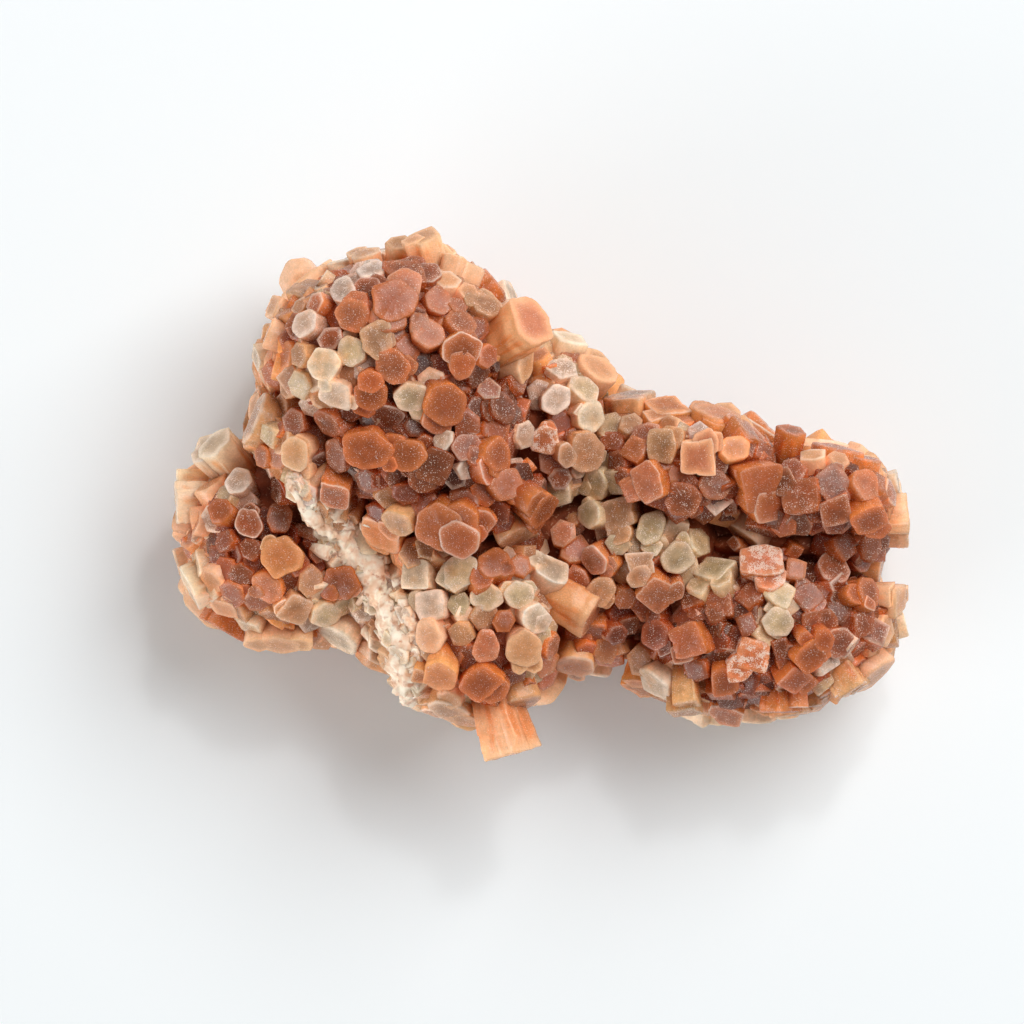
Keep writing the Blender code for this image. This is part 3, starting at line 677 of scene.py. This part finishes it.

# Prisms of the outer rim
# They point outwards all round the specimen. Light comes through them from the side, so they are the
# brightest: peach, cream and orange, with sharp pale edges. Their glow is partly painted into their sides
# and partly the light that their clear stone lets through.

FACING_OUT = [
    (-14.6, 20.3, 2.5, 100, 12, "C"), (-11.7, 21.1, 2.2, 95, 30, "C"), (-9.7, 21.6, 2.6, 85, 25, "C"),
    (-8.6, 20.4, 2.5, 85, 40, "C"), (-19.4, 17.4, 2.8, 128, 20, "E"), (-22.2, 15.8, 2.2, 145, 20, "C"),
    (-23.8, 7.4, 2.4, 178, 25, "C"), (-23.6, 11.4, 2.2, 175, 15, "Y"), (2.6, 13.2, 2.8, 68, 15, "S"),
    (4.7, 11.6, 3.0, 45, 25, "Y"), (-2.3, -21.5, 4.2, -78, 8, "C"), (4.1, -14.1, 2.9, -40, 20, "C"),
    (-6.2, -18.7, 2.3, -95, 25, "P"), (-8.6, -18.2, 2.2, -110, 15, "E"), (-27.2, 4.4, 3.2, 138, 30, "S"),
    (-30.4, -0.6, 3.6, 178, 15, "S"), (-28.9, 1.9, 2.4, 150, 35, "C"), (-29.4, -7.4, 2.8, 212, 12, "S"),
    (-29.2, -4.2, 2.6, 185, 25, "C"), (-26.4, -9.4, 2.6, 232, 20, "C"), (-24.3, -11.0, 2.3, 250, 15, "Y"),
    (-22.2, -12.2, 2.8, 262, 15, "C"), (-19.2, -12.0, 2.4, 272, 25, "E"), (-15.7, -12.9, 3.0, 275, 10, "C"),
    (10.6, 7.6, 3.4, 92, 25, "O"), (15.3, 7.1, 2.5, 88, 20, "C"), (21.0, 5.5, 2.2, 80, 20, "P"),
    (27.6, 2.7, 2.2, 45, 30, "C"), (30.0, 0.9, 2.6, 15, 15, "Y"), (30.7, -2.0, 3.6, -2, 12, "C"),
    (30.1, -8.8, 2.8, 2, 20, "C"), (29.9, -11.4, 2.4, -8, 15, "E"), (28.8, -13.9, 2.3, -38, 20, "C"),
    (26.2, -16.2, 2.6, -48, 15, "E"), (23.6, -17.4, 2.2, -68, 20, "C"), (20.1, -18.0, 3.0, -85, 15, "P"),
    (15.6, -18.4, 3.2, -92, 18, "P"), (12.2, -18.1, 3.0, -98, 12, "E"), (8.6, -16.2, 3.2, -122, 20, "O"),
]
OUT_HEIGHTS = (-1.5, 5.5)  # how high their caps stand over the middle of their lobe
RIM_WORN, RIM_SQUARE = 0.3, 0.6  # they are sharper than the others, and most of them are nearly square
# Their sides are painted lighter too: a painted glow
OPEN_WIDE_RINGS = [(a, b, size, rung if rung > 1 else (1 + rung) / 2) for a, b, size, rung in WIDE_RINGS]


def towards(heading, rise):
    """Unit vector with this heading in the XY plane and this rise above it, in degrees."""
    turn, lift = math.radians(heading), math.radians(rise)
    return np.array([math.cos(turn) * math.cos(lift), math.sin(turn) * math.cos(lift), math.sin(lift)])


clear_stone = prism_material("clear_prisms", light_reach=2.2, banding=0.8)
rim = []
for x, y, width, heading, rise, tone in FACING_OUT:
    axis = towards(heading, rise)
    _, _, lobe = top_of_lobes(x - axis[0] * PRISM_LENGTH, y - axis[1] * PRISM_LENGTH)
    z = CENTRES[lobe, 2] + rng.uniform(*OUT_HEIGHTS)
    rim.append({**prism((x, y, z), axis, width, tone), "worn": RIM_WORN, "often_square": RIM_SQUARE})
arm_pieces("rim", rim, clear_stone, OPEN_RINGS, OPEN_WIDE_RINGS)

# Two prisms that lie across the arms
# Both are clear amber. The wider one lies at the top right of the upper arm, the other over the lower
# arm.

LYING = [(-0.6, 14.4, 25.6, 4.5, 38, 37, "A"), (4.4, -10.0, 19.2, 3.6, -45, 14, "A")]
lying = [prism((x, y, z), towards(heading, rise), width, tone)
         for x, y, z, width, heading, rise, tone in LYING]
prism_piece("lying_prisms", lying, clear_stone, OPEN_WIDE_RINGS, WIDE_PLACES, growth_steps, stained_and_shaded=False)
grown += lying

# Prisms of the sides and the back
# Wide, blunt prisms spread over every lobe where the ones above leave room, the widest underneath.

SPREAD = [(5.4, -1.0, -0.5), (5.0, -1.0, -0.3), (4.6, -1.0, -0.15), (4.2, -0.5, -0.1), (3.8, -0.4, 0.4),
          (3.4, -0.2, 0.45)]  # width, and the lowest and highest rise that suit it
SPREAD_TRIES = 90
BURIED = 0.94  # a place with less fullness than this in another lobe is inside it
CLEAR_OF_TABLE = 0.5
SIDE_TONES, BACK_TONES = "CEOPCYEC", "CPYOECEPC"  # of those above and below UNDERSIDE
UNDERSIDE = -0.3


def is_free(cap, width, made):
    """True where a cap of this width fits between those already there."""
    return all(np.linalg.norm(cap - c["cap"]) > (width + c["width"]) / 2 for c in made)


def keep_clear_of_table(c):
    """Draws a low prism back along its axis until its whole cap is above the table."""
    down = c["axis"][2]
    lowest = c["cap"][2] - c["width"] * OVER_CORNERS / 2 * (1 + CORNER_SPREAD) * math.sqrt(1 - down ** 2)
    if lowest < CLEAR_OF_TABLE and down < 0:
        c["cap"] = c["cap"] + c["axis"] * (CLEAR_OF_TABLE - lowest) / down


def place_on_lobe(lobe):
    """A random point of a lobe's surface, its axis there and its least fullness in the other lobes."""
    cap = CENTRES[lobe] + RADII[lobe] * on_surface(unit(rng.normal(size=3)))
    others = np.delete(fullness((cap - CENTRES) / RADII), lobe)
    return cap, straight_out(cap, lobe), others.min()


spread = []
for width, lowest, highest in SPREAD:
    for lobe in range(len(CENTRES)):
        for _ in range(SPREAD_TRIES):
            cap, axis, others = place_on_lobe(lobe)
            if others > BURIED and lowest < axis[2] < highest and is_free(cap, width, grown):
                tones = SIDE_TONES if axis[2] > UNDERSIDE else BACK_TONES
                spread.append(prism(cap, axis, width, tones[len(spread) % len(tones)]))
                grown.append(spread[-1])
for c in spread:
    keep_clear_of_table(c)
prism_piece("side_and_back_prisms", spread + twins(spread), prism_stone, OPEN_RINGS)

# White vein
# A crust of fine cream aragonite runs down between the left arm and the lower arm. It grew as sugary
# grains that are too small to tell apart, so it has no prisms but a few smooth ones.

VEIN = [(-20.6, 1.2, 0.3), (-19.6, -0.4, 0.45), (-18.8, -1.7, 0.6), (-17.1, -2.8, 1.1), (-15.7, -3.7, 2.1),
        (-14.3, -5.8, 1.4), (-13.4, -8.1, 1.1), (-12.2, -11.2, 1.6), (-11.5, -14.1, 1.6),
        (-11.1, -16.2, 0.8), (-10.9, -17.2, 0.3)]  # X, Y and half width
VEIN_GRID = (230, 72)
VEIN_THICKNESS, VEIN_RISE = 0.8, 0.35
VEIN_LUMP, VEIN_LUMP_HEIGHT, VEIN_SEED = (1.3, 0.45, 0.18), (0.5, 0.24, 0.12), 30
VEIN_CREAM, VEIN_BLUSH, VEIN_SPECK = (252, 238, 216), (236, 196, 164), (198, 142, 110)
SMOOTHING = 25
SMALL_LENGTH = 3.4
SMALL_RINGS = ((1.0, 0.0, BASE_TAPER, 0.1), (0.0, 0.9, 0.96, 0.6), (0.0, 0.06, 1.0, 1.1),
               (0.0, 0.0, 0.95, 2.3), (0.0, 0.0, 0.6, 3.7))
SMALL_PLACES = np.arange(6.0)
VEIN_PRISMS = [(-14.3, -3.9, 2.2, "Y"), (-11.5, -13.1, 1.9, "Y"), (-15.9, -2.6, 1.2, "W"),
               (-12.6, -9.4, 1.2, "W"), (-12.4, -11.9, 1.4, "Y"), (-11.6, -15.0, 1.6, "W"),
               (-17.9, -2.9, 0.9, "W"), (-13.7, -6.9, 1.0, "W")]
VEIN_PRISM_RISE = 0.4
GRAIN_RISE, GRAIN_LEAN = (-0.55, -0.02), 0.3


def vein_material():
    material, tree, shader = new_material("white_vein")
    blush = ramp(tree, noise(tree, size=1.1, detail=4.0), low=0.42, high=0.60)
    cream = mix_colours(tree, blush, linear(VEIN_CREAM), linear(VEIN_BLUSH))
    specks = ramp(tree, noise(tree, size=0.8, detail=7.0), low=0.55, high=0.68)
    relief = bumps(tree, noise(tree, size=0.12, detail=3.0), distance=0.05)
    shader.subsurface_method = "BURLEY"
    set_inputs(tree, shader, Base_Color=mix_colours(tree, specks, cream, linear(VEIN_SPECK)), Roughness=0.55,
               Normal=relief, Subsurface_Weight=0.5, Subsurface_Radius=(1.0, 0.8, 0.6),
               Subsurface_Scale=0.8 * MM)
    return material


def smoothed(values):
    """The mean of each value and its neighbours, the nearest counting most."""
    bell = np.hanning(SMOOTHING) / np.hanning(SMOOTHING).sum()
    return np.convolve(np.pad(values, SMOOTHING // 2, "edge"), bell, "valid")


def vein_path():
    """X, Y and half width (3, rows) of the vein at each of its rows."""
    u = np.linspace(0, len(VEIN) - 1, VEIN_GRID[0])
    return np.array([smoothed(np.interp(u, np.arange(len(VEIN)), values)) for values in np.array(VEIN).T])


def vein_piece():
    """A crust along a path P(u) on the lobes: P(u) + a(u) cos(v) S(u) + b sin(v) N(u) with half width a,
    thickness b, S across the path and N out of the lobe, plus unevenness out from its middle line."""
    rows, columns = VEIN_GRID
    x, y, half = vein_path()
    path, out, _ = (np.array(values) for values in zip(*(top_of_lobes(*place) for place in zip(x, y))))
    path[:, 2] = smoothed(path[:, 2]) + VEIN_RISE - VEIN_THICKNESS
    along = unit(np.gradient(path, axis=0))
    across = unit(np.cross(along, out))
    out = np.cross(across, along)
    v = (np.arange(columns) * math.tau / columns)[:, None]
    ring = across[:, None] * np.cos(v) * half[:, None, None] + out[:, None] * np.sin(v) * VEIN_THICKNESS
    points = path[:, None] + ring
    lumps = sum(height * rough(points, size, VEIN_SEED) for size, height in zip(VEIN_LUMP, VEIN_LUMP_HEIGHT))
    points = points + unit(ring) * (lumps * np.minimum(1, half[:, None]))[..., None] + ON_TABLE
    add_piece("white_vein", with_ends(points), ring_faces(1, rows, columns)[0], vein_stone)


def grains(count, widths, tones, reach, length):
    """Tiny prisms at random places along the vein, out from its middle to this share of its half width."""
    path = vein_path()
    made = []
    for row, across, rise, width in zip(rng.integers(0, VEIN_GRID[0], count), rng.uniform(-1, 1, count),
                                        rng.uniform(*GRAIN_RISE, count), rng.uniform(*widths, count)):
        x, y, half = path[:, row]
        point, axis, _ = top_of_lobes(x + across * half * reach, y + across * half * reach / 2)
        tone = rng.choice(list(tones)) if len(tones) > 1 else tones
        made.append(prism(point + axis * rise, axis, width, tone, length, GRAIN_LEAN))
    return made


vein_stone = vein_material()
vein_piece()
vein_prisms = facing_up(VEIN_PRISMS, -VEIN_PRISM_RISE)
prism_piece("vein_prisms", vein_prisms, prism_stone)
grown += vein_prisms
cloudy = grains(520, (0.4, 1.3), "W", reach=0.9, length=SMALL_LENGTH / 2)
prism_piece("vein_grains", cloudy, vein_stone, SMALL_RINGS, SMALL_PLACES)
glassy = grains(210, (0.7, 1.9), "WYYSGCE", reach=1.0, length=SMALL_LENGTH)
prism_piece("clear_grains", glassy, prism_stone, SMALL_RINGS, SMALL_PLACES)

# Small prisms in the gaps
# Everywhere between the big prisms stand small ones, most of them lower, where painted shade makes them
# darker.

SMALL = [
    (-7.6, 18.1, 2.3, "C"), (-5.8, 17.1, 1.8, "C"), (-6.6, 16.0, 1.9, "P"), (-18.8, 16.1, 1.9, "P"),
    (-17.6, 13.1, 2.1, "M"), (-20.2, 11.6, 2.1, "E"), (-20.2, 9.0, 2.3, "G"), (-15.9, 6.4, 1.8, "D"),
    (-10.3, 5.8, 1.9, "D"), (-20.7, 6.2, 2.2, "M"), (-20.4, 0.9, 1.9, "Y"), (-14.5, 0.9, 2.3, "M"),
    (-11.3, -0.3, 2.3, "R"), (-4.9, 7.4, 1.9, "D"), (-3.9, 9.0, 1.9, "M"), (-1.2, 9.8, 2.2, "M"),
    (-4.2, 11.6, 2.2, "B"), (-9.6, 10.8, 2.0, "K"), (-5.7, 0.9, 1.9, "D"), (-2.6, -2.6, 2.1, "R"),
    (-14.0, -1.8, 1.9, "R"), (-23.0, 9.2, 2.2, "C"), (-22.8, 5.0, 2.0, "G"),
    (1.8, 1.2, 2.0, "M"), (1.9, -3.0, 2.2, "P"), (6.3, 1.6, 1.9, "M"), (5.9, 4.8, 2.0, "M"),
    (-0.2, 11.8, 2.0, "O"),
    (-6.8, -9.0, 2.0, "G"), (-1.4, -5.6, 1.9, "P"), (-2.9, -10.4, 1.9, "B"), (-6.6, -11.6, 2.2, "E"),
    (-2.0, -15.3, 2.2, "M"), (-10.9, -15.6, 2.2, "Y"), (1.3, -12.6, 2.0, "P"), (-11.7, -9.0, 2.0, "G"),
    (-12.6, -12.2, 2.0, "W"), (-14.0, -4.4, 2.2, "W"), (-12.4, -6.0, 2.0, "Y"), (-7.6, -17.2, 2.2, "C"),
    (-26.7, -1.2, 2.3, "B"), (-26.6, -3.8, 1.9, "M"), (-24.2, -4.4, 1.9, "M"), (-25.1, -6.8, 2.1, "M"),
    (-19.0, -7.2, 2.3, "E"), (-18.2, -4.6, 1.9, "M"), (-18.9, -1.7, 2.0, "G"), (-23.4, 3.2, 1.9, "P"),
    (13.3, 5.6, 1.9, "W"), (7.6, 6.2, 2.0, "E"), (7.6, 4.0, 2.3, "P"), (15.6, -1.4, 2.1, "K"),
    (19.2, 3.9, 2.2, "M"), (22.6, 3.6, 2.2, "C"), (20.9, 2.6, 2.3, "M"), (24.9, 3.3, 1.9, "C"),
    (21.4, -2.9, 2.2, "D"), (18.9, -2.2, 2.2, "D"), (21.4, -5.9, 2.1, "P"), (17.6, -8.0, 2.3, "M"),
    (6.4, -4.0, 2.0, "G"), (7.2, -8.6, 1.9, "P"), (12.5, -8.2, 2.2, "M"), (14.7, -12.1, 1.9, "R"),
    (17.2, -10.7, 1.9, "M"), (12.7, -14.9, 2.2, "M"), (20.1, -12.8, 1.9, "M"), (25.1, -9.5, 2.2, "D"),
    (27.4, -10.6, 2.3, "M"), (6.6, -12.0, 2.0, "R"), (21.6, -3.7, 1.4, "K"), (22.8, -5.0, 1.6, "K"),
    (16.5, -2.5, 1.9, "K"),
]
# Hollows that stay empty: X, Y and how far they reach
PITS = [(-14.2, -1.2, 1.2), (4.0, -3.6, 1.0), (8.8, -1.0, 1.1), (6.0, -10.2, 1.4), (-9.0, 4.8, 0.8)]
VEIN_ROWS_A_PIT, VEIN_PIT = 6, 0.85  # a row of pits along the vein, of this share of its width
# Low saddles that fill the creases between lobes, in the same form as the lobes
WEBS = {
    "crease": ((20.5, -4.0, 10.5), (9.6, 3.6, 8.8)),
    "under_brow": ((-4.5, -4.4, 12.5), (7.5, 4.0, 9.6)),
    "palm_crease": ((8.0, -8.6, 10.5), (5.5, 5.5, 8.6)),
    "vein_top": ((-9.8, -4.8, 13.5), (4.2, 3.2, 10.0)),
}
SMALL_DEEPER = 0.2
FILL_WIDTHS = (2.5, 2.2, 1.9, 1.6, 1.3)
FILL_TRIES, FILL_SPACING, FILL_BURIED = 1600, 0.66, 0.97
FILL_SINK, FILL_LEAN = (0.6, 1.9), 0.25
# Tones that suit each tone of the nearest bigger prism
FILL_TONES = {"B": "BMRDMK", "R": "RDKB", "M": "MDMRMW", "D": "DKMD", "K": "KDK", "P": "PBMPD", "O": "OPBC",
              "C": "COPE", "G": "GGEYW", "Y": "YGCE", "W": "WGMW", "E": "EGPEM", "F": "PBWM", "A": "OBCP",
              "S": "YCEG"}


def places_on_lobes(tries):
    """Random points (n, 3) on the lobes, tries on each, that lie in no other lobe, and their lobes."""
    directions = unit(rng.normal(size=(len(CENTRES), tries, 3)))
    points = (CENTRES[:, None] + RADII[:, None] * on_surface(directions)).reshape(-1, 3)
    lobes = np.repeat(np.arange(len(CENTRES)), tries)
    depths = fullness((points[:, None] - CENTRES) / RADII)
    depths[np.arange(len(points)), lobes] = 1
    pits = np.concatenate((PITS, vein_path().T[::VEIN_ROWS_A_PIT] * (1, 1, VEIN_PIT)))
    from_pits = np.hypot(points[:, :1] - pits[:, 0], points[:, 1:2] - pits[:, 1])
    in_pit = (points[:, 2] > CENTRES[lobes, 2]) & (from_pits < pits[:, 2]).any(1)
    mixed = rng.permutation(np.flatnonzero((depths.min(1) > FILL_BURIED) & ~in_pit))
    return points[mixed], lobes[mixed]


rng = np.random.default_rng(SEED + 1)
small = facing_up(SMALL, SMALL_DEEPER)
caps, widths = column(grown + small, "cap"), column(grown + small, "width")
CENTRES, RADII = np.swapaxes([*LOBES.values(), *WEBS.values()], 0, 1)
for width in FILL_WIDTHS:
    points, lobes = places_on_lobes(FILL_TRIES)
    for point, axis in zip(points, straight_out(points, lobes)):
        gaps = np.linalg.norm(caps - point, axis=1) - FILL_SPACING * (width + widths) / 2
        if gaps.min() > 0:
            nearest = grown[np.linalg.norm(caps[:len(grown)] - point, axis=1).argmin()]
            tone = rng.choice(list(FILL_TONES[nearest["tone"]]))
            sunk = point - axis * rng.uniform(*FILL_SINK)
            small.append(prism(sunk, axis, width, tone, SMALL_LENGTH, FILL_LEAN))
            caps, widths = np.vstack((caps, point)), np.append(widths, width)
for c in small:
    keep_clear_of_table(c)
prism_piece("small_prisms", small, prism_stone, SMALL_RINGS, SMALL_PLACES)
lobe_piece("crease_mass", WEBS, mass_stone)

# Sugar on the prisms
# Specks of aragonite about a tenth of a millimetre wide, grown last. They catch the light on the caps
# and down the upper sides, most of all on frosted prisms.

SUGAR_PER_AREA, SUGAR_ALWAYS = 7.0, 0.08  # for each square mm of cap at full frost, and the least frost
SUGAR_SIZE = (0.022, 0.055)  # half of a speck's length, mm
SUGAR_SPREAD, CAP_REACH = 1.35, 0.46  # share past 1 falls over the edge, which is this many widths out
SUGAR_DEPTH = 0.8  # how far down the sides they go, mm
SUGAR_PATCH, PATCH_SEED, PATCH_LIMITS = 1.1, 40, (-0.2, 1.2)  # distance between patches, mm
SUGAR_COLOUR = (255, 246, 236)
OCTAHEDRON = ((0, 1, 2), (1, 3, 2), (3, 4, 2), (4, 0, 2), (1, 0, 5), (3, 1, 5), (4, 3, 5), (0, 4, 5))


def sugar_material():
    material, tree, shader = new_material("aragonite_sugar")
    set_inputs(tree, shader, Base_Color=(*linear(SUGAR_COLOUR), 1), Roughness=0.12, IOR=1.9,
               Specular_IOR_Level=0.9)
    return material


def sugar_piece(name, prisms):
    """Octahedra: each has its six points at +- size along three axes that are turned at random."""
    own = np.random.default_rng(SEED + 2)
    width = column(prisms, "width")
    count = own.poisson(SUGAR_PER_AREA * width ** 2 * (column(prisms, "frost") + SUGAR_ALWAYS))
    host = np.repeat(np.arange(len(prisms)), count)
    radius = np.sqrt(own.uniform(0, SUGAR_SPREAD, len(host)))
    angle = own.uniform(0, math.tau, len(host))
    across = np.minimum(radius, 1.0) * width[host] * CAP_REACH
    depth = np.where(radius < 1, 0.0, own.uniform(0, SUGAR_DEPTH, len(host)))
    local = np.stack((across * np.cos(angle), across * np.sin(angle), -depth), -1)
    turns = np.array([upright(c) for c in prisms])
    middle = column(prisms, "cap")[host] + ON_TABLE + np.einsum("nij,nj->ni", turns[host], local)
    middle = middle[rough(middle, SUGAR_PATCH, PATCH_SEED) > own.uniform(*PATCH_LIMITS, len(middle))]
    frames = np.linalg.qr(own.normal(size=(len(middle), 3, 3)))[0]
    frames *= np.sign(np.linalg.det(frames))[:, None, None]
    arms = np.swapaxes(frames, 1, 2) * own.uniform(*SUGAR_SIZE, (len(middle), 3, 1))
    points = np.concatenate((middle[:, None] + arms, middle[:, None] - arms), 1).reshape(-1, 3)
    triangles = (OCTAHEDRON + np.arange(len(middle))[:, None, None] * 6).reshape(-1, 3)
    add_piece(name, points, (np.empty((0, 4), int), triangles), sugar_material())


sugar_piece("sugar", grown + small)

# Stage: plain pale floor, soft light from all round that is strongest from the upper right, and the
# camera straight above the specimen.

HALF_FLOOR, FLOOR_COLOUR = 1.5, (0.91, 0.95, 0.965, 1)
VIEW_CENTRE = (-2.33, -1.42, 16.0)  # what the picture's middle shows, mm
VIEW_WIDTH = 85.3  # what the picture's width shows at that height, mm
LENS, SENSOR = 600.0, 36.0
LIT_POINT = Vector((0, 0, 0.012))
LIGHTS = {  # place in metres, size, power, and whether the camera sees it
    "upper_right_light": ((0.26, 0.24, 0.46), 0.40, 2.55, True),
    "low_left_light": ((-0.36, -0.22, 0.06), 0.30, 1.35, False),
    "glint_light": ((0.10, 0.30, 0.52), 0.05, 0.35, False),
}
TENT_LIGHT = (0.95, 0.25)  # strength of the light at the horizon, and from TENT_TOP up
TENT_TOP = 0.6  # sine of the height over the horizon

floor_mesh = bpy.data.meshes.new("floor")
floor_corners = [(x * HALF_FLOOR, y * HALF_FLOOR, 0) for x, y in ((-1, -1), (1, -1), (1, 1), (-1, 1))]
floor_mesh.from_pydata(floor_corners, [], [(0, 1, 2, 3)])
floor = add_object("floor", floor_mesh)
paper, paper_tree, paper_shader = new_material("white_paper")
set_inputs(paper_tree, paper_shader, Base_Color=FLOOR_COLOUR, Roughness=0.9)
floor_mesh.materials.append(paper)

for name, (place, size, power, in_sight) in LIGHTS.items():
    light = bpy.data.lights.new(name, "AREA")
    light.size = size
    light.energy = power
    lamp = add_object(name, light)
    lamp.location = place
    lamp.rotation_euler = (LIT_POINT - Vector(place)).to_track_quat("-Z", "Y").to_euler()
    lamp.visible_camera = in_sight
world = bpy.data.worlds.new("white_tent")
world.use_nodes = True
tent = world.node_tree
upwards = add_node(tent, "SeparateXYZ", Vector=tent.nodes.new("ShaderNodeTexCoord").outputs["Generated"])
set_inputs(tent, tent.nodes["Background"], Color=(1, 1, 1, 1),
           Strength=ramp(tent, upwards.outputs["Z"], 0.0, TENT_TOP, *TENT_LIGHT))
bpy.context.scene.world = world
bpy.context.scene.view_settings.view_transform = "Standard"

camera_data = bpy.data.cameras.new("camera")
camera_data.lens = LENS
camera_data.sensor_width = SENSOR
camera = add_object("camera", camera_data)
camera.location = Vector(VIEW_CENTRE) * MM + Vector((0, 0, LENS / SENSOR * VIEW_WIDTH * MM))
bpy.context.scene.camera = camera
